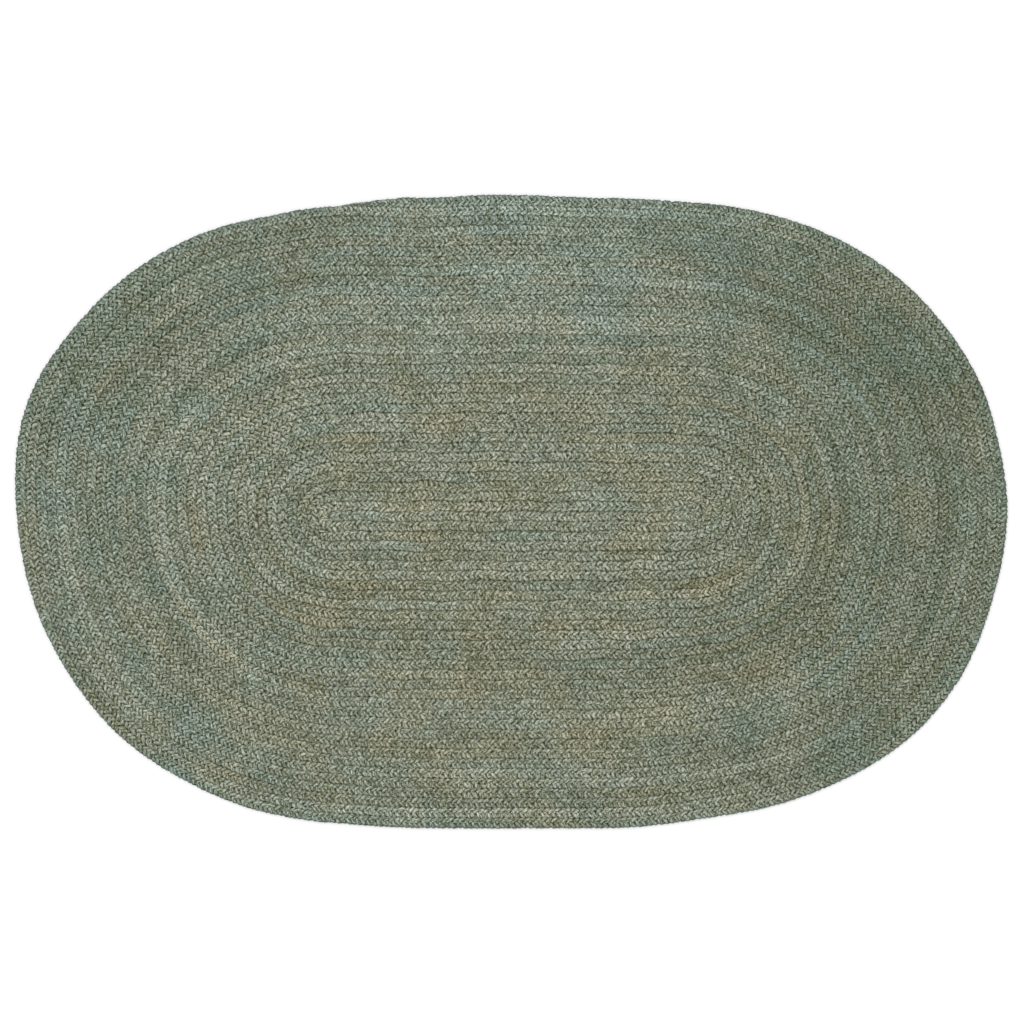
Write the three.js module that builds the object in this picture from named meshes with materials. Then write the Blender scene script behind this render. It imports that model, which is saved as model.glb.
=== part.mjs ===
// Oval braided jute rug, about 1.8 m by 1.15 m. One flat braid is laid straight along the middle,
// turned back round its ends and coiled outwards, and each row is sewn to the row inside it.
// Millimetres, +Z up. The rug lies flat on z = 0 with the middle of its outline's box at the origin.
import * as THREE from "three";

// Driving dimensions
const BRAID_WIDTH = 18;
const ROWS_ACROSS = 64;
const CORE_LENGTH = 656;
const CROWN_HEIGHT = 9.5;
const GROOVE_DEPTH = 3;

// The braid's end is drawn in to nothing over this length and sewn down along the far side
const TAIL_LENGTH = 131;

// The outermost row is rounded off: across is measured from the row's inner edge in braid widths
const SHOULDER = { across: 0.85, height: 7.6 };
const OUTLINE = { across: 1, height: 4.4 };
const FOOT = { across: 0.78, height: 0 };

// Points along each half turn of the coil: round one end, then back along one side
const END_STEPS = 24;
const SIDE_STEPS = 10;

// Sewing by hand draws the rows in or lets them out. Each pull is centred on a bearing seen from the
// rug's middle, in degrees from +X towards +Y. It fades over its spread and moves the outline by out.
const PULLS = [
  { bearing: 8, spread: 4, out: -5 },
  { bearing: 28, spread: 10, out: -7 },
  { bearing: 45, spread: 9, out: -12 },
  { bearing: 58, spread: 8, out: -12 },
  { bearing: 76, spread: 7, out: -5 },
  { bearing: 105, spread: 5, out: -6 },
  { bearing: 116, spread: 5, out: -2 },
  { bearing: 128, spread: 5, out: -9 },
  { bearing: 150, spread: 6, out: 7 },
  { bearing: 167, spread: 8, out: 25 },
  { bearing: 201, spread: 7, out: -8 },
  { bearing: 219, spread: 8, out: -15 },
  { bearing: 235, spread: 8, out: -12 },
  { bearing: 303, spread: 6, out: -11 },
  { bearing: 316, spread: 10, out: -19 },
  { bearing: 351, spread: 7, out: -8 },
];

// Colour of undyed and sage-dyed jute, and how matt it is
const JUTE_COLOUR = 0x7a806f;
const JUTE_ROUGHNESS = 0.95;

// The coil as half turns. Even ones go round the right end and back along the far side (+Y). Odd ones
// go round the left end and back along the near side. Each lies against the one two half turns before.
const HALF_TURNS = ROWS_ACROSS - 1;
const HALF_STEPS = END_STEPS + SIDE_STEPS;
const TURN_STEPS = 2 * HALF_STEPS;
const LAST_STEP = HALF_TURNS * HALF_STEPS;
const LAST_TURN = LAST_STEP - TURN_STEPS;
const TAIL_STEPS = (TAIL_LENGTH / CORE_LENGTH) * SIDE_STEPS;
const OUTLINE_RADIUS = (ROWS_ACROSS * BRAID_WIDTH) / 2;

// How far the outline moves out at the bearing of a point on it
function pullAt(point) {
  const bearing = THREE.MathUtils.radToDeg(Math.atan2(point.y, point.x));
  let total = 0;
  for (const pull of PULLS) {
    const apart = THREE.MathUtils.euclideanModulo(bearing - pull.bearing + 180, 360) - 180;
    total += pull.out * Math.exp(-0.5 * (apart / pull.spread) ** 2);
  }
  return total;
}

// The point at a step along the coil and so many braid widths across from the row's inner edge
function coilPoint(step, across) {
  const halfTurn = Math.floor(step / HALF_STEPS);
  const stepInHalf = step - halfTurn * HALF_STEPS;
  const side = halfTurn % 2 === 0 ? 1 : -1;
  const turned = Math.min(stepInHalf / END_STEPS, 1);
  const returned = Math.max((stepInHalf - END_STEPS) / SIDE_STEPS, 0);

  // Rows at the right end turn about a point half a braid further out than those at the left end
  const centreY = side > 0 ? BRAID_WIDTH / 2 : 0;
  const centre = new THREE.Vector2(side * CORE_LENGTH * (0.5 - returned), centreY);
  const angle = Math.PI * (turned - 0.5);
  const outward = new THREE.Vector2(side * Math.cos(angle), side * Math.sin(angle));

  const ideal = outward.clone().multiplyScalar(OUTLINE_RADIUS).add(centre);
  const stretch = 1 + pullAt(ideal) / OUTLINE_RADIUS;
  const radius = (halfTurn / 2 + across) * BRAID_WIDTH * stretch;
  return outward.multiplyScalar(radius).add(centre);
}

// The braid's width along the coil as a share of its full width
function widthShare(step) {
  return Math.min((LAST_STEP - step) / TAIL_STEPS, 1);
}

// A closed surface. Each vertex is added once, and the triangles that meet there share it.
class Surface {
  constructor() {
    this.positions = [];
    this.corners = [];
  }

  vertex(point, height) {
    this.positions.push(point.x, point.y, height);
    return this.positions.length / 3 - 1;
  }

  triangle(a, b, c) {
    if (a !== b && b !== c && c !== a) this.corners.push(a, b, c);
  }

  // Fills between two lines that run counterclockwise, from the inner one over to the outer one
  strip(inner, outer, nextInner, nextOuter) {
    this.triangle(inner, outer, nextOuter);
    this.triangle(inner, nextOuter, nextInner);
  }

  geometry() {
    const geometry = new THREE.BufferGeometry();
    geometry.setAttribute("position", new THREE.Float32BufferAttribute(this.positions, 3));
    geometry.setIndex(this.corners);
    return geometry;
  }
}

function makeRugGeometry() {
  const surface = new Surface();

  // The sewn end of the tail lies on the outline, where the last whole turn begins
  const tip = surface.vertex(coilPoint(LAST_STEP, 0), OUTLINE.height);

  // Grooves along the inner edge of each row. The first end turn is about a single point.
  const grooveHeight = CROWN_HEIGHT - GROOVE_DEPTH;
  const firstGroove = surface.vertex(coilPoint(0, 0), grooveHeight);
  const grooves = [];
  for (let step = 0; step < LAST_STEP; step++) {
    const turning = step <= END_STEPS;
    grooves.push(turning ? firstGroove : surface.vertex(coilPoint(step, 0), grooveHeight));
  }

  // Crowns midway across each row
  const crowns = [];
  for (let step = 0; step < LAST_STEP; step++) {
    crowns.push(surface.vertex(coilPoint(step, widthShare(step) / 2), CROWN_HEIGHT));
  }
  crowns.push(tip);

  // Shoulder, outline and foot of the last whole turn, which all close at the tail
  const shoulders = [tip];
  const outline = [tip];
  const feet = [surface.vertex(coilPoint(LAST_TURN, FOOT.across), FOOT.height)];
  for (let step = LAST_TURN + 1; step < LAST_STEP; step++) {
    const width = widthShare(step);
    const footAcross = width + FOOT.across - OUTLINE.across;
    shoulders.push(surface.vertex(coilPoint(step, SHOULDER.across * width), SHOULDER.height));
    outline.push(surface.vertex(coilPoint(step, OUTLINE.across * width), OUTLINE.height));
    feet.push(surface.vertex(coilPoint(step, footAcross), FOOT.height));
  }
  shoulders.push(tip);
  outline.push(tip);
  feet.push(feet[0]);
  const edgeAt = (step) => (step < LAST_STEP ? grooves[step] : outline[step - LAST_STEP]);

  // The straight row in the middle, with its start rounded off at the left end
  const core = [crowns[0]];
  for (let step = 1; step <= SIDE_STEPS; step++) {
    const x = CORE_LENGTH * (0.5 - step / SIDE_STEPS);
    core.push(surface.vertex(new THREE.Vector2(x, 0), CROWN_HEIGHT));
  }
  const coreStart = core[SIDE_STEPS];
  for (let step = 0; step < SIDE_STEPS; step++) {
    const far = END_STEPS + step;
    const near = TURN_STEPS - step;
    surface.strip(core[step], edgeAt(far), core[step + 1], edgeAt(far + 1));
    surface.strip(core[step + 1], edgeAt(near - 1), core[step], edgeAt(near));
  }
  for (let step = HALF_STEPS; step < HALF_STEPS + END_STEPS; step++) {
    surface.triangle(coreStart, edgeAt(step), edgeAt(step + 1));
  }

  // Each row rises from its inner groove to its crown
  for (let step = 0; step < LAST_STEP; step++) {
    surface.strip(edgeAt(step), crowns[step], edgeAt(step + 1), crowns[step + 1]);
  }

  // Rows inside the last turn fall from the crown to the next row's groove
  for (let step = 0; step < LAST_TURN; step++) {
    const next = step + TURN_STEPS;
    surface.strip(crowns[step], edgeAt(next), crowns[step + 1], edgeAt(next + 1));
  }

  // The last turn rounds over to its foot, and the underside is flat. The underside's triangles fan
  // out from below the braid's start, so the rug's middle is well inside one of them.
  const startBelow = surface.vertex(new THREE.Vector2(-CORE_LENGTH / 2, 0), FOOT.height);
  for (let i = 0; i < TURN_STEPS; i++) {
    const crown = crowns[LAST_TURN + i];
    const nextCrown = crowns[LAST_TURN + i + 1];
    surface.strip(crown, shoulders[i], nextCrown, shoulders[i + 1]);
    surface.strip(shoulders[i], outline[i], shoulders[i + 1], outline[i + 1]);
    surface.strip(outline[i], feet[i], outline[i + 1], feet[i + 1]);
    surface.triangle(feet[i], startBelow, feet[i + 1]);
  }

  // Set the middle of the outline's box on the origin
  const geometry = surface.geometry();
  geometry.computeBoundingBox();
  const middle = geometry.boundingBox.getCenter(new THREE.Vector3());
  geometry.translate(-middle.x, -middle.y, 0);
  geometry.computeVertexNormals();
  return geometry;
}

const jute = new THREE.MeshStandardMaterial({
  name: "jute",
  color: JUTE_COLOUR,
  roughness: JUTE_ROUGHNESS,
  metalness: 0,
});
const braid = new THREE.Mesh(makeRugGeometry(), jute);
braid.name = "braided_rug";

const rug = new THREE.Group();
rug.name = "oval_jute_rug";
rug.add(braid);
export default rug;
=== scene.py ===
"""Oval braided jute rug, seen from straight above. Each of the braid's three strands is a tube that runs
along the whole coil, cut into closed lengths. Metres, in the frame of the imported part."""

import math

import bpy
import numpy as np
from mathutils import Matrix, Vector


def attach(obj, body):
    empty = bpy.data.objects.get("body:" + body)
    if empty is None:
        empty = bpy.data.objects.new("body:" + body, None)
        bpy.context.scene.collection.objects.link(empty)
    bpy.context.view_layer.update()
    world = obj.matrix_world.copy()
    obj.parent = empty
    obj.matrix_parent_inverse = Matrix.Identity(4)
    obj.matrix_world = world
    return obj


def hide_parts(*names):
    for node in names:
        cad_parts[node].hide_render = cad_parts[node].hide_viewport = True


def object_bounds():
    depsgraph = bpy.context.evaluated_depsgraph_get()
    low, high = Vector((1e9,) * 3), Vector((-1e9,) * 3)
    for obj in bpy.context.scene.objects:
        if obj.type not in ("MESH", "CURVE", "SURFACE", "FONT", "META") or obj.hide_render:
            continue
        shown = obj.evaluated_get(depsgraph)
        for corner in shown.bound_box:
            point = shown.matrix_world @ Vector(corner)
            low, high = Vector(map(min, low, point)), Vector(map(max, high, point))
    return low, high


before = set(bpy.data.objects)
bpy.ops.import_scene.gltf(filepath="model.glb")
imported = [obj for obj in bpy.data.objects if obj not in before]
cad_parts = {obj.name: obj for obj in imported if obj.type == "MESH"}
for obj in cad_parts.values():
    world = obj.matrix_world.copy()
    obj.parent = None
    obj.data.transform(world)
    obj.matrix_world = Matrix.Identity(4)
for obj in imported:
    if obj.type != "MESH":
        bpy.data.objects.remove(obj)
cad_low, cad_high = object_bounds()

MM = 0.001

# The coil, with the sizes of the part's solid
BRAID_WIDTH = 18 * MM
ROWS_ACROSS = 64
CORE_LENGTH = 656 * MM
TAIL_LENGTH = 131 * MM
MIDDLE_HEIGHT = 4.75 * MM

# Where sewing by hand draws the rows in or lets them out, as in the part's solid: the bearing seen
# from the rug's middle and how far the pull spreads, in degrees, and how far it moves the outline
PULLS = [
    (8, 4, -5 * MM),
    (28, 10, -7 * MM),
    (45, 9, -12 * MM),
    (58, 8, -12 * MM),
    (76, 7, -5 * MM),
    (105, 5, -6 * MM),
    (116, 5, -2 * MM),
    (128, 5, -9 * MM),
    (150, 6, 7 * MM),
    (167, 8, 25 * MM),
    (201, 7, -8 * MM),
    (219, 8, -15 * MM),
    (235, 8, -12 * MM),
    (303, 6, -11 * MM),
    (316, 10, -19 * MM),
    (351, 7, -8 * MM),
]

# The braid. Each strand swings from side to side once in a lay, and rises and sinks twice. The rise
# comes a little after the swing, and it lingers at its top and bottom.
STRANDS = 3
LAY = 27.8 * MM
SWING = 6.9 * MM
RISE = 2.4 * MM
RISE_LAG = math.radians(9)
RISE_HOLD = 0.15
STRAND_HALF_WIDTH = 3.5 * MM
STRAND_HALF_HEIGHT = 2.35 * MM

# How much wider a strand is where it turns at the row's edges, and where it lies at the underside
EDGE_SPREAD = 0.2
UNDER_SPREAD = 0.45

# Points round a strand's section, across and up as shares of its half width and half height
SECTION = np.array([(1, 0.15), (0.52, 0.9), (-0.52, 0.9), (-1, 0.15), (0, -1)])

# Where the rings lie along one lay of a strand, which is 360 degrees. They are closest together where
# the strand shows on top.
PHASES = np.array([0, 41, 82, 132, 180, 221, 262, 312]) / 360

# Rows press on each other from this far out of a row's middle line. Past that, a strand has this much
# room on top, at the underside and at the outline.
PRESSED_FROM = 9 * MM
PRESSED_ROOM = 1 * MM
UNDER_ROOM = 3 * MM
FREE_ROOM = 2.4 * MM

# The shares of its width that are left at the braid's rounded start and at its drawn-in tail
LEAST_START = 0.32
LEAST_TAIL = 0.12

# How uneven the hand work is, as shares. The lay drifts over some lays, and the rest from lobe to lobe.
# A lobe is a quarter of a lay, where a strand shows on one face, and its middle is half way along it.
LAY_DRIFT = 0.1
LAY_DRIFT_LAYS = 7
LOBES = 4
LOBE_MIDDLE = 0.5
WIDTH_DRIFT = 0.2
HEIGHT_DRIFT = 0.14
SWING_DRIFT = 0.1

# How far a lobe is shifted along the braid, and how far the inside of a row wanders across it
LOBE_SHIFT = 2 * MM
ROW_WANDER = 0.8 * MM
ROW_WANDER_STRETCH = 60 * MM

# Long waves that neighbouring rows share. Each has its radians a metre along X and Y, the angle that it
# starts at, and how far it moves the rows along X and Y as shares of the wander.
RUG_WANDER = 1.2 * MM
LONG_WAVES = [
    (29, -52, 4.0, 0.5, 0),
    (71, 33, 5.2, 0.35, 0),
    (41, 23, 0.7, 0, 1),
    (-67, 38, 2.1, 0, 0.7),
]
WAVES_FADE_FROM = 0.5

# Ripples of a strand's size, which are also shared and also fade towards the rim
RIPPLE = 0.38 * MM
RIPPLES = 12
RIPPLE_SEED = 12
RIPPLE_LENGTHS = (12 * MM, 24 * MM)
RIPPLES_FADE_FROM = 0.875
RIPPLE_AT_RIM = 0.2

# Dye along the braid. Tone is how light it is and hue how blue-green. Each drifts along a strand over
# some lays, and by stretch of the whole braid. Tone also changes from lobe to lobe.
TONE = 0.45
TONE_DRIFT_BY_LOBE = 0.06
TONE_DRIFT = 0.07
TONE_DRIFT_LAYS = 9
TONE_BY_STRETCH = 0.12
TONE_STRETCH = 450 * MM
HUE_DRIFT = 0.1
HUE_DRIFT_LAYS = (2.5, 11)
HUE_BY_STRETCH = 0.16
HUE_STRETCH = 180 * MM

# The grooves between rows are darker than the rest, in painted shade, up to the first of these shares of
# the braid's length, and lighter, in painted light, from the second one on. The higher the power, the
# closer to the row's edge.
GROOVE_SHARES = (0.25, 0.5)
GROOVE_PAINTED_LIGHT_AND_SHADE = (-0.1, 0.09)
GROOVE_POWER = 4

# Some stretches of the seam to the row inside are darker, in painted shade, and so is the rim, also in
# painted shade, which is bluer too. The end power is how softly a dark stretch starts and ends.
SEAM_PAINTED_SHADE = -0.7
SEAM_STRETCH = 260 * MM
SEAM_POWER = 3
SEAM_END_POWER = 2
RIM_PAINTED_SHADE = -0.2
RIM_HUE = 0.35

# The coil is cut into this many pieces, and a strand's fibres turn once in this length
PIECES = 7
TWIST_LENGTH = 34 * MM

# Each strand of a piece lies in this many strips on the piece's map. The margins are shares of a strip's
# width and of the map.
STRIPS = 18
STRIP_MARGIN = 0.06
MAP_MARGIN = 0.002

SEED = 20240817

HALF_TURNS = ROWS_ACROSS - 1
OUTLINE_RADIUS = ROWS_ACROSS * BRAID_WIDTH / 2

# Row 0 is the straight core. Row n + 1 is half turn n: round one end, then back along one side.
ROW_BENDS = math.pi * BRAID_WIDTH * np.arange(HALF_TURNS + 1) / 2
ROW_STARTS = np.concatenate([[0], np.cumsum(ROW_BENDS + CORE_LENGTH)])
BRAID_LENGTH = ROW_STARTS[-1]
OUTER_TURN = ROW_STARTS[-3]

# Strands are made from before the braid's rounded start to past its tail, and cut to its length. The
# tail's tip stops half a lay before the end of its row.
SPARE_LAYS = 3
LAYS = int(BRAID_LENGTH / LAY) + SPARE_LAYS
BRAID_START = -BRAID_WIDTH / 2
TIP_END = BRAID_LENGTH - LAY / 2


# The coil

def outward_pull(x, y):
    """How far the outline moves out at the bearings of points on it."""
    bearing = np.degrees(np.arctan2(y, x))
    total = np.zeros_like(x)
    for centre, spread, out in PULLS:
        apart = (bearing - centre + 180) % 360 - 180
        total += out * np.exp(-0.5 * (apart / spread) ** 2)
    return total


def coil_places(distance, outward):
    """Points at a distance along the braid and so far outwards of its middle line."""
    row = np.searchsorted(ROW_STARTS, distance, side="right") - 1
    row = np.clip(row, 0, HALF_TURNS)
    side = np.where(row % 2 == 1, 1, -1)
    bend = ROW_BENDS[row]
    gone = distance - ROW_STARTS[row]
    turned = np.where(row > 0, np.clip(gone / np.maximum(bend, MM), 0, 1), 1)
    returned = np.where(row > 0, np.maximum(gone - bend, 0), gone) / CORE_LENGTH
    angle = math.pi * (turned - 0.5)
    out_x, out_y = side * np.cos(angle), side * np.sin(angle)
    centre_x = side * CORE_LENGTH * (0.5 - returned)
    centre_y = np.where(side > 0, BRAID_WIDTH / 2, 0)
    rim_x, rim_y = centre_x + OUTLINE_RADIUS * out_x, centre_y + OUTLINE_RADIUS * out_y
    stretch = 1 + outward_pull(rim_x, rim_y) / OUTLINE_RADIUS
    radius = (row * BRAID_WIDTH / 2 + outward) * stretch
    return centre_x + radius * out_x, centre_y + radius * out_y


def faded(out, start, least):
    """1 as far out as start, as a share of the way to the rim, and down to least at the rim."""
    return np.clip((1 - out) / (1 - start), least, 1)


def wandered(x, y):
    """Points moved by the small wander that neighbouring rows share."""
    out = np.hypot(x / cad_high.x, y / cad_high.y)
    new_x, new_y = x, y
    for turn_x, turn_y, start, share_x, share_y in LONG_WAVES:
        wave = RUG_WANDER * faded(out, WAVES_FADE_FROM, 0) * np.sin(turn_x * x + turn_y * y + start)
        new_x, new_y = new_x + share_x * wave, new_y + share_y * wave
    ripple_rng = np.random.default_rng(RIPPLE_SEED)
    for _ in range(RIPPLES):
        turn = 2 * math.pi / ripple_rng.uniform(*RIPPLE_LENGTHS)
        bearing, start, way = ripple_rng.uniform(0, 2 * math.pi, 3)
        gone = x * math.cos(bearing) + y * math.sin(bearing)
        ripple = RIPPLE * faded(out, RIPPLES_FADE_FROM, RIPPLE_AT_RIM) * np.sin(turn * gone + start)
        new_x, new_y = new_x + ripple * math.cos(way), new_y + ripple * math.sin(way)
    return new_x, new_y


# The strands

def uneven(rng, place):
    """Random numbers from -1 to 1 at whole places, with straight lines from each to the next."""
    knots = rng.uniform(-1, 1, int(place.max()) + 2)
    return np.interp(place, np.arange(len(knots)), knots)


def stretches(rng, length):
    """Random numbers from -1 to 1 at knots so far apart along the braid."""
    knots = np.arange(0, BRAID_LENGTH + length, length)
    return knots, rng.uniform(-1, 1, len(knots))


def pressed(outward, distance, up):
    """Places across a row after the rows beside it have pressed on it."""
    free = (outward > 0) & (distance > OUTER_TURN)
    room = np.where(free, FREE_ROOM, np.where(up < 0, UNDER_ROOM, PRESSED_ROOM))
    over = np.maximum(np.abs(outward) - PRESSED_FROM, 0)
    reach = np.minimum(np.abs(outward), PRESSED_FROM) + room * np.tanh(over / room)
    return np.sign(outward) * reach


def ends_shaped(along):
    """The share of its size that the braid has along its length, and how far it is drawn in towards the
    row inside it. Its start is rounded, and its tail is drawn in."""
    before = np.minimum(along, 0) / (BRAID_WIDTH / 2)
    start = np.sqrt(np.clip(1 - before**2, LEAST_START**2, 1))
    tail = np.clip((BRAID_LENGTH - along) / TAIL_LENGTH, LEAST_TAIL, 1)
    return start * tail, (1 - tail) * BRAID_WIDTH / 2


def risen(phase, rise):
    """How high a strand lies over the braid's mid height, and how fast that grows with the phase. A wave
    three times as fast makes it linger at its top and bottom."""
    turn = 2 * phase - RISE_LAG
    up = rise * (np.sin(turn) + RISE_HOLD * np.sin(3 * turn)) / (1 - RISE_HOLD)
    climb = 2 * rise * (np.cos(turn) + 3 * RISE_HOLD * np.cos(3 * turn)) / (1 - RISE_HOLD)
    return up, climb


def ring_directions(phase, swing, climb):
    """At each ring, the directions across the strand and up out of it, and how much longer the strand is
    than the braid."""
    run, slip = LAY / (2 * math.pi), swing * np.cos(phase)
    flat_run = np.hypot(run, slip)
    whole_run = np.hypot(flat_run, climb)
    side = np.stack([-slip / flat_run, run / flat_run, np.zeros_like(slip)], -1)
    ahead = np.stack([np.full_like(slip, run), slip, climb], -1) / whole_run[:, None]
    return side, np.cross(ahead, side), whole_run / run


def laid_on_coil(ring, up, rows):
    """The rings' points laid along the coil, where the inside of a row wanders between its edges. Also
    their distances along the braid and their places across the row."""
    distance, outward = ring[..., 0], ring[..., 1]
    inside = np.clip(1 - (outward / PRESSED_FROM) ** 2, 0, 1)
    outward = outward + inside * ROW_WANDER * np.interp(distance, *rows["wander"])
    outward = pressed(outward, distance, up[:, None])
    x, y = wandered(*coil_places(distance, outward))
    return np.stack([x, y, MIDDLE_HEIGHT + ring[..., 2]], -1), distance, outward


def straight_places(length, number, wide, high):
    """Where each point lies when the strand is pulled straight, with its twist. Each strand has a number
    of its own, which sets it apart from the others."""
    turned = np.arctan2(SECTION[:, 1], SECTION[:, 0]) + 2 * math.pi * length[:, None] / TWIST_LENGTH
    reach = np.hypot(wide, high)
    along = np.broadcast_to(length[:, None] + number, reach.shape)
    return np.stack([along, reach * np.cos(turned), reach * np.sin(turned)], -1)


def strand_dye_and_painted_shade(rng, rows, laps, lobe, along, distance, outward):
    """Each point's tone, with painted light and shade at the row's edges and rim, its hue and its place
    across the strand.
    """
    tone = TONE + TONE_DRIFT_BY_LOBE * uneven(rng, lobe)
    tone = tone + TONE_DRIFT * uneven(rng, laps / TONE_DRIFT_LAYS)
    tone = tone + TONE_BY_STRETCH * np.interp(along, *rows["tone"])
    hue = sum(HUE_DRIFT * uneven(rng, laps / lays) for lays in HUE_DRIFT_LAYS)
    hue = hue + HUE_BY_STRETCH * np.interp(along, *rows["hue"])

    across = np.clip(outward / PRESSED_FROM, -1, 1)
    seamed = np.clip(np.interp(distance, *rows["seam"]), 0, 1) ** SEAM_END_POWER
    seam = np.maximum(-across, 0) ** SEAM_POWER * seamed
    rim = np.maximum(across, 0) * (distance > OUTER_TURN)
    groove_painted_light_and_shade = np.interp(distance / BRAID_LENGTH, GROOVE_SHARES, GROOVE_PAINTED_LIGHT_AND_SHADE)
    # Painted shade and light in the grooves between rows, and painted shade on stretches of the seam and
    # on the rim
    edge_painted_light_and_shade = groove_painted_light_and_shade * across**GROOVE_POWER + SEAM_PAINTED_SHADE * seam + RIM_PAINTED_SHADE * rim
    point_tone_and_painted_shade = tone[:, None] + edge_painted_light_and_shade
    point_hue = hue[:, None] + RIM_HUE * rim
    return np.stack([point_tone_and_painted_shade, point_hue, np.broadcast_to(SECTION[:, 0], rim.shape)], -1)


def make_strand(rng, number, lay_ends, rows):
    """A strand along the whole coil: each ring's distance along the braid and its points, with their
    places on the straight strand and their dye and painted shade."""
    laps = (np.arange(LAYS)[:, None] + PHASES).ravel()
    phase = 2 * math.pi * laps
    lobe = np.maximum(LOBES * laps - LOBE_MIDDLE, 0)

    def drifting(size, drift):
        return size * (1 + drift * uneven(rng, lobe))

    spread = EDGE_SPREAD * np.sin(phase) ** 2 + UNDER_SPREAD * np.maximum(-np.sin(2 * phase), 0)
    width = drifting(STRAND_HALF_WIDTH, WIDTH_DRIFT) * (1 + spread)
    height = drifting(STRAND_HALF_HEIGHT, HEIGHT_DRIFT)
    swing = drifting(SWING, SWING_DRIFT)
    rise = drifting(RISE, HEIGHT_DRIFT)

    # The middle line, as a distance along the braid, a place across it and a height
    along = np.interp(laps + number / STRANDS, np.arange(len(lay_ends)), lay_ends)
    along = along + LOBE_SHIFT * uneven(rng, lobe)
    share, inward = ends_shaped(along)
    up, climb = risen(phase, rise)
    middle = np.stack([along, swing * np.sin(phase) * share - inward, up * share], -1)

    # Rings of points round it, laid along the coil
    side, top, extra = ring_directions(phase, swing, climb)
    wide = (width * share)[:, None] * SECTION[:, 0]
    high = (height * share)[:, None] * SECTION[:, 1]
    ring = middle[:, None] + wide[..., None] * side[:, None] + high[..., None] * top[:, None]
    points, distance, outward = laid_on_coil(ring, up, rows)

    length = np.cumsum(extra) * LAY / len(PHASES)
    straight = straight_places(length, number, wide, high)
    dye_and_painted_shade = strand_dye_and_painted_shade(rng, rows, laps, lobe, along, distance, outward)
    kept = (along > BRAID_START) & (along < TIP_END)
    return along[kept], points[kept], straight[kept], dye_and_painted_shade[kept]


def make_strands():
    """The three strands, moved so that the middle of the outline's box is on the origin, and flat where
    they lie on the floor."""
    rng = np.random.default_rng(SEED)
    lay_lengths = LAY * (1 + LAY_DRIFT * uneven(rng, np.arange(LAYS + 1) / LAY_DRIFT_LAYS))
    lay_ends = np.concatenate([[0], np.cumsum(lay_lengths)]) + BRAID_START - LAY
    rows = {
        "wander": stretches(rng, ROW_WANDER_STRETCH),
        "tone": stretches(rng, TONE_STRETCH),
        "hue": stretches(rng, HUE_STRETCH),
        "seam": stretches(rng, SEAM_STRETCH),
    }
    strands = [make_strand(rng, number, lay_ends, rows) for number in range(STRANDS)]
    low = np.min([points.min((0, 1)) for _, points, _, _ in strands], axis=0)
    high = np.max([points.max((0, 1)) for _, points, _, _ in strands], axis=0)
    for _, points, _, _ in strands:
        points -= (low + high) / 2 * [1, 1, 0]
        points[..., 2] = np.maximum(points[..., 2], 0)
    return strands


# Meshes

def tube_corners(rings):
    """Triangles of a tube of so many rings, closed at both ends. Each corner is a ring and a place round
    it, and the place after the last point of a ring is its first point again."""
    count = len(SECTION)
    a = np.stack(np.meshgrid(np.arange(rings - 1), np.arange(count), indexing="ij"), -1)
    b, c, d = a + [0, 1], a + [1, 1], a + [1, 0]
    body = np.stack([a, c, b, a, d, c], axis=2).reshape(-1, 3, 2)
    fan = np.arange(1, count - 1)
    start = np.stack([np.zeros_like(fan), fan, fan + 1], -1)
    ends = np.concatenate([start, start[:, [0, 2, 1]]])
    end_rings = np.repeat([0, rings - 1], len(fan))[:, None]
    caps = np.stack([np.broadcast_to(end_rings, ends.shape), ends], -1)
    return np.concatenate([body, caps])


def inset(share, margin):
    return margin + (1 - 2 * margin) * share


def rolled_out(corners, strand):
    """The corners' places on a square map, on which each strand lies in strips, side by side."""
    length = math.ceil(corners[..., 0].max() / STRIPS)
    strip = np.minimum(corners[..., 0].min(1) // length, STRIPS - 1)[:, None]
    along = (corners[..., 0] - strip * length) / length
    across = strand * STRIPS + strip + inset(corners[..., 1] / len(SECTION), STRIP_MARGIN)
    return np.stack([inset(along, MAP_MARGIN), across / (STRANDS * STRIPS)], -1)


def flat_numbers(arrays):
    return np.concatenate(arrays).astype(np.float32).ravel()


def add_mesh(name, points, triangles):
    mesh = bpy.data.meshes.new(name)
    mesh.vertices.add(len(points))
    mesh.vertices.foreach_set("co", points.astype(np.float32).ravel())
    mesh.loops.add(triangles.size)
    mesh.loops.foreach_set("vertex_index", triangles.astype(np.int32).ravel())
    mesh.polygons.add(len(triangles))
    mesh.polygons.foreach_set("loop_start", np.arange(0, triangles.size, 3, dtype=np.int32))
    mesh.update(calc_edges=True)
    mesh.polygons.foreach_set("use_smooth", np.ones(len(triangles), dtype=bool))
    piece = bpy.data.objects.new(name, mesh)
    bpy.context.scene.collection.objects.link(piece)
    return piece


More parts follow.
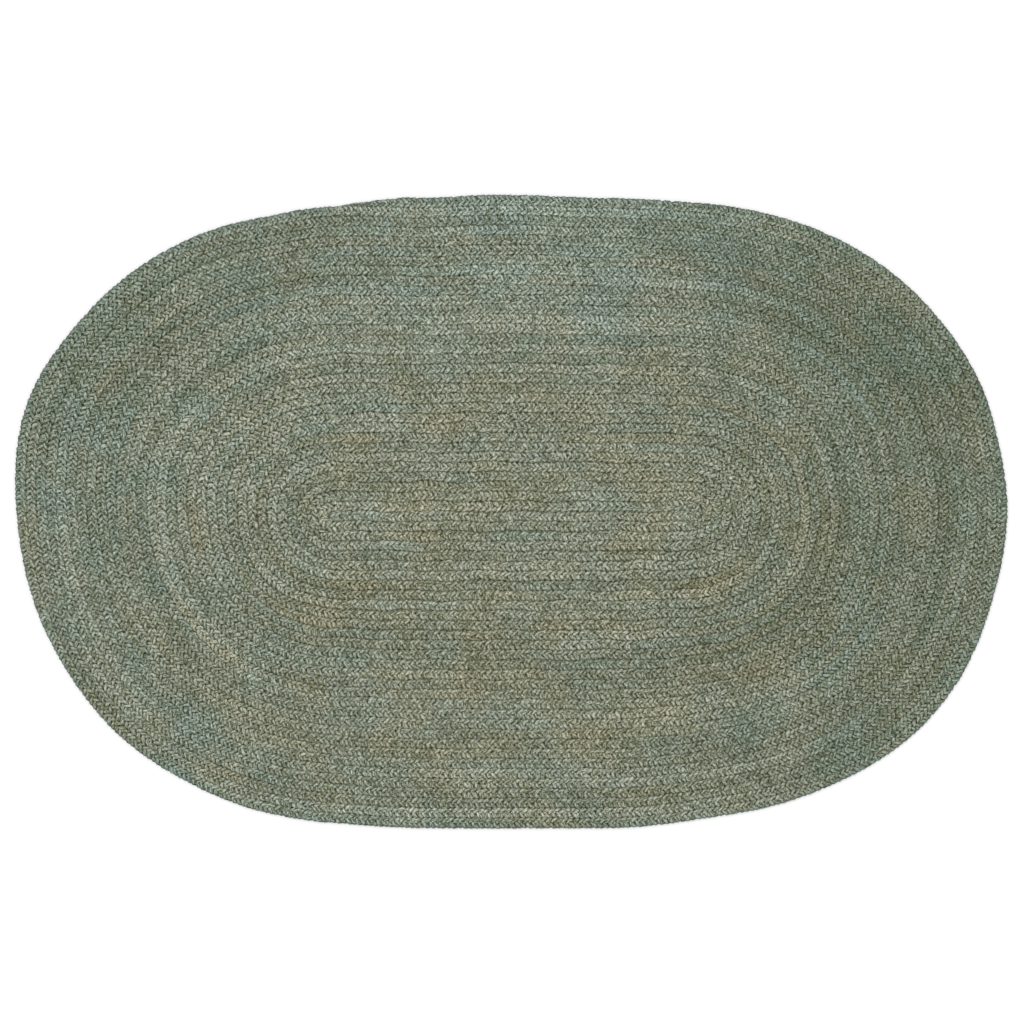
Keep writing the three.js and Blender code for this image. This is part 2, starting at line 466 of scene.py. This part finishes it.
def add_length(name, strands, start, end, jute):
    """One piece of the rug: the parts of the three strands between two distances along the braid."""
    points, triangles, straight, dye_and_painted_shade, places = [], [], [], [], []
    for number, (along, strand_points, strand_straight, strand_dyes_and_painted_shades) in enumerate(strands):
        first, last = np.searchsorted(along, (start, end))
        rings = slice(first, last + 1)
        corners = tube_corners(len(along[rings]))
        ring, place_round = corners[..., 0], corners[..., 1] % len(SECTION)
        triangles.append(sum(len(p) for p in points) + ring * len(SECTION) + place_round)
        places.append(rolled_out(corners, number))
        points.append(strand_points[rings].reshape(-1, 3))
        straight.append(strand_straight[rings].reshape(-1, 3))
        dye_and_painted_shade.append(strand_dyes_and_painted_shades[rings].reshape(-1, 3))
    piece = add_mesh(name, np.concatenate(points), np.concatenate(triangles))
    for layer_name, values in (("straight", straight), ("dye_and_painted_shade", dye_and_painted_shade)):
        layer = piece.data.attributes.new(layer_name, "FLOAT_VECTOR", "POINT")
        layer.data.foreach_set("vector", flat_numbers(values))
    bake_map = piece.data.uv_layers.new(name="OFBake", do_init=False)
    bake_map.uv.foreach_set("vector", flat_numbers(places))
    piece.data.materials.append(jute)
    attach(piece, "root")
    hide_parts("braided_rug")


# Material

# Colours as they show on a screen, from 0 to 255, and the painted tint of shade that the darkest pits
# are multiplied by
BEIGE = (168, 165, 144)
BLUE_GREEN = (146, 164, 159)
PAINTED_PIT_TINT = (0.92, 1, 0.57, 1)
WHITE = (1, 1, 1, 1)

# The beige is strongest round this place. Distances from it are measured with this stretch.
BEIGE_MIDDLE = (0, -140 * MM, 0)
BEIGE_STRETCH = (1.15, 1.6, 0)

# Each pattern's features a metre, and its detail. Plies and fibres are stretched along the strand.
PATCHES = (9, 4)
BLOTCHES = (11, 4)
PLIES = (720, 1)
PLY_STRETCH = (0.22, 1, 1)
FIBRES = (2400, 2)
FIBRE_STRETCH = (0.05, 1, 1)

# Each of these turns a value between the first two numbers into one between the last two. The ramps by
# crown, across the strand and for pits paint shade: lighter on a strand's crown, darker at its sides and
# darkest in a pit, which is where a strand's side lies low. The far corners are found by the product of
# X, without its sign, and Y.
HUE_FROM_MIDDLE = (0.3, 1.1, 0, 0.3)
HUE_BY_PATCH = (0.3, 0.7, 0.12, 0.5)
PAINTED_SHADE_BY_CROWN = (-0.5 * MM, 4 * MM, 0.85, 0.96)
SHADE_BY_TONE = (0, 1, 0.6, 1.3)
PAINTED_SHADE_ACROSS_STRAND = (0.45, 1, 1.04, 0.46)
PAINTED_PIT_ACROSS_STRAND = (0.3, 1, 0, 1)
PAINTED_PIT_BY_CROWN = (0.4 * MM, 2.9 * MM, -0.9, 0)
SHADE_BY_PLY = (0.34, 0.66, 0.34, 1.47)
SHADE_BY_FIBRE = (0.3, 0.7, 0.6, 1.3)
SHADE_BY_BLOTCH = (0.3, 0.7, 0.94, 1.06)
# Painted falloff of light: darker towards the rug's right and left ends
PAINTED_FALLOFF_TO_RIGHT = (0.1, 0.95, 1, 0.78)
PAINTED_FALLOFF_TO_LEFT = (-0.95, -0.4, 0.95, 1)
SHADE_TO_FAR_SIDE = (0.15, 0.5, 1, 1.06)
SHADE_TO_FAR_CORNERS = (0.08, 0.2, 1, 0.87)
PAINTED_PIT_TINT_BY_SHADE = (0.1, 1, 0, 1)
ROUGHNESS_BY_FIBRE = (0.2, 0.8, 0.95, 0.75)

BUMP_STRENGTH = 0.7
BUMP_DISTANCE = 0.6 * MM
SHEEN = 0.06
SHINE = 0.2


def linear(colour):
    """A colour given as it shows on a screen, from 0 to 255, as the shader's linear one."""
    shares = [c / 255 for c in colour]
    return (*[s / 12.92 if s <= 0.04045 else ((s + 0.055) / 1.055) ** 2.4 for s in shares], 1)


class Nodes:
    """Nodes of one material. Each input is another node's output or a plain value."""

    def __init__(self, material):
        material.use_nodes = True
        self.tree = material.node_tree
        self.shader = self.tree.nodes["Principled BSDF"]

    def feed(self, socket, source):
        if isinstance(source, bpy.types.NodeSocket):
            self.tree.links.new(source, socket)
        else:
            socket.default_value = source

    def add(self, kind, inputs, **settings):
        node = self.tree.nodes.new("ShaderNode" + kind)
        for name, value in settings.items():
            setattr(node, name, value)
        for name, source in inputs.items():
            self.feed(node.inputs[name], source)
        return node.outputs

    def attribute(self, name):
        return self.add("Attribute", {}, attribute_name=name)["Vector"]

    def chained(self, operation, values):
        total = values[0]
        for value in values[1:]:
            total = self.add("Math", {0: total, 1: value}, operation=operation)[0]
        return total

    def sum(self, *values):
        return self.chained("ADD", values)

    def product(self, *values):
        return self.chained("MULTIPLY", values)

    def size(self, value):
        return self.add("Math", {0: value}, operation="ABSOLUTE")[0]

    def stretched(self, vector, shares):
        return self.add("VectorMath", {0: vector, 1: shares}, operation="MULTIPLY")[0]

    def ramp(self, value, low, high, at_low, at_high):
        inputs = {0: value, 1: low, 2: high, 3: at_low, 4: at_high}
        return self.add("MapRange", inputs, interpolation_type="SMOOTHSTEP")[0]

    # The colour inputs of a mix node are 6 and 7, and its colour output is 2
    def mix(self, share, first, second):
        return self.add("Mix", {0: share, 6: first, 7: second}, data_type="RGBA")[2]

    def noise(self, place, scale, detail):
        inputs = {"Vector": place, "Scale": scale, "Detail": detail}
        return self.add("TexNoise", inputs)["Fac"]


def dye_colour(nodes, place, hue_drift):
    """Beige round the middle, and more blue-green further out and in patches."""
    from_middle = nodes.add("VectorMath", {0: place, 1: BEIGE_MIDDLE}, operation="SUBTRACT")[0]
    from_middle = nodes.stretched(from_middle, BEIGE_STRETCH)
    distance = nodes.add("VectorMath", {0: from_middle}, operation="LENGTH")["Value"]
    patch = nodes.noise(place, *PATCHES)
    hue = nodes.sum(
        nodes.ramp(distance, *HUE_FROM_MIDDLE), nodes.ramp(patch, *HUE_BY_PATCH), hue_drift
    )
    return nodes.mix(hue, linear(BEIGE), linear(BLUE_GREEN))


def dye_and_painted_light_over_rug(nodes, place):
    """Lighter and darker by place on the rug: dye blotches, a painted falloff of light towards the right
    and left ends, lighter on the far side and darker at the far corners.
    """
    x, y, _ = nodes.add("SeparateXYZ", {0: place})
    return nodes.product(
        nodes.ramp(nodes.noise(place, *BLOTCHES), *SHADE_BY_BLOTCH),
        nodes.ramp(x, *PAINTED_FALLOFF_TO_RIGHT),
        nodes.ramp(x, *PAINTED_FALLOFF_TO_LEFT),
        nodes.ramp(y, *SHADE_TO_FAR_SIDE),
        nodes.ramp(nodes.product(nodes.size(x), y), *SHADE_TO_FAR_CORNERS),
    )


def painted_shade_over_strand(nodes, place, across_strand):
    """Painted shade: lighter on a strand's crown, darker at its sides and darkest in the pits."""
    z = nodes.add("SeparateXYZ", {0: place})["Z"]
    from_mid_height = nodes.size(nodes.sum(z, -MIDDLE_HEIGHT))
    from_middle = nodes.size(across_strand)
    painted_pit_shade = nodes.product(
        nodes.ramp(from_middle, *PAINTED_PIT_ACROSS_STRAND), nodes.ramp(from_mid_height, *PAINTED_PIT_BY_CROWN)
    )
    return nodes.product(
        nodes.ramp(from_mid_height, *PAINTED_SHADE_BY_CROWN),
        nodes.ramp(from_middle, *PAINTED_SHADE_ACROSS_STRAND),
        nodes.sum(1, painted_pit_shade),
    )


def make_jute():
    """Twisted jute fibres in beige and blue-green dye, with painted shade: light on the crowns, and
    darker and olive-tinted in the pits.
    """
    jute = bpy.data.materials.new("jute")
    nodes = Nodes(jute)
    # The dye attribute holds tone with painted light and shade at the rows' edges, hue, and the place
    # across the strand, by which shade is painted
    tone, hue_drift, across_strand = nodes.add("SeparateXYZ", {0: nodes.attribute("dye_and_painted_shade")})
    straight = nodes.attribute("straight")
    place = nodes.add("TexCoord", {})["Object"]
    fibre = nodes.noise(nodes.stretched(straight, FIBRE_STRETCH), *FIBRES)
    ply = nodes.noise(nodes.stretched(straight, PLY_STRETCH), *PLIES)

    dyed = dye_colour(nodes, place, hue_drift)
    # Tone, plies and fibres are the jute's own; the strand factor is painted shade, and the rug factor
    # holds dye blotches and a painted falloff of light
    tone_and_painted_shade = nodes.product(
        nodes.ramp(tone, *SHADE_BY_TONE),
        nodes.ramp(ply, *SHADE_BY_PLY),
        nodes.ramp(fibre, *SHADE_BY_FIBRE),
        painted_shade_over_strand(nodes, place, across_strand),
        dye_and_painted_light_over_rug(nodes, place),
    )
    # Painted colour of shade: where the shade product is darkest, the colour is tinted olive
    painted_tint = nodes.mix(nodes.ramp(tone_and_painted_shade, *PAINTED_PIT_TINT_BY_SHADE), PAINTED_PIT_TINT, WHITE)
    tinted = nodes.add("VectorMath", {0: dyed, 1: painted_tint}, operation="MULTIPLY")[0]
    shaded = nodes.add("VectorMath", {0: tinted, 3: tone_and_painted_shade}, operation="SCALE")[0]
    bump_inputs = {"Height": fibre, "Strength": BUMP_STRENGTH, "Distance": BUMP_DISTANCE}
    surface = {
        "Base Color": shaded,
        "Roughness": nodes.ramp(fibre, *ROUGHNESS_BY_FIBRE),
        "Normal": nodes.add("Bump", bump_inputs)["Normal"],
        "Sheen Weight": SHEEN,
        "Specular IOR Level": SHINE,
    }
    for name, source in surface.items():
        nodes.feed(nodes.shader.inputs[name], source)
    return jute


# Floor, light and camera

FLOOR_SIZE = 60
FLOOR_BRIGHTNESS = 0.9
FLOOR_ROUGHNESS = 0.9

# Light from all round, and a soft light from the upper left: its tilt about X, Y and Z and how far its
# source spreads, in degrees
ROOM_BRIGHTNESS = 0.73
LIGHT_STRENGTH = 1.55
LIGHT_TILT = (-13, -11, 0)
LIGHT_SPREAD = 40

# The camera looks straight down from this height. The frame is this wide on the floor, and its middle
# is this far to the right of and above the rug's. The camera sees as far as its reach, and the width of
# its sensor is in millimetres.
CAMERA_HEIGHT = 6
FRAME_WIDTH = 1866 * MM
CAMERA_SIDE = 1.3 * MM
CAMERA_UP = -0.7 * MM
CAMERA_REACH = 100
SENSOR = 36


def add_floor():
    corners = np.array([[-1, -1, 0], [1, -1, 0], [1, 1, 0], [-1, 1, 0]]) * FLOOR_SIZE / 2
    floor = add_mesh("floor", corners, np.array([[0, 1, 2], [0, 2, 3]]))
    paint = bpy.data.materials.new("floor_paint")
    shader = Nodes(paint).shader
    shader.inputs["Base Color"].default_value = (FLOOR_BRIGHTNESS,) * 3 + (1,)
    shader.inputs["Roughness"].default_value = FLOOR_ROUGHNESS
    floor.data.materials.append(paint)


def add_light():
    world = bpy.data.worlds.new("studio")
    world.use_nodes = True
    background = world.node_tree.nodes["Background"]
    background.inputs["Color"].default_value = WHITE
    background.inputs["Strength"].default_value = ROOM_BRIGHTNESS
    bpy.context.scene.world = world
    lamp_data = bpy.data.lights.new("soft_light", "SUN")
    lamp_data.angle = math.radians(LIGHT_SPREAD)
    lamp_data.energy = LIGHT_STRENGTH
    lamp = bpy.data.objects.new("soft_light", lamp_data)
    lamp.rotation_euler = np.radians(LIGHT_TILT)
    bpy.context.scene.collection.objects.link(lamp)


def add_camera():
    camera_data = bpy.data.cameras.new("camera")
    camera_data.sensor_width = SENSOR
    camera_data.lens = SENSOR * CAMERA_HEIGHT / FRAME_WIDTH
    camera_data.clip_end = CAMERA_REACH
    camera = bpy.data.objects.new("camera", camera_data)
    camera.location = (CAMERA_SIDE, CAMERA_UP, CAMERA_HEIGHT)
    bpy.context.scene.collection.objects.link(camera)
    bpy.context.scene.camera = camera


jute = make_jute()
strands = make_strands()
cuts = np.linspace(BRAID_START, BRAID_LENGTH, PIECES + 1)
for number in range(PIECES):
    add_length(f"braid_length_{number + 1}", strands, cuts[number], cuts[number + 1], jute)
add_floor()
add_light()
add_camera()
bpy.context.scene.view_settings.view_transform = "Standard"
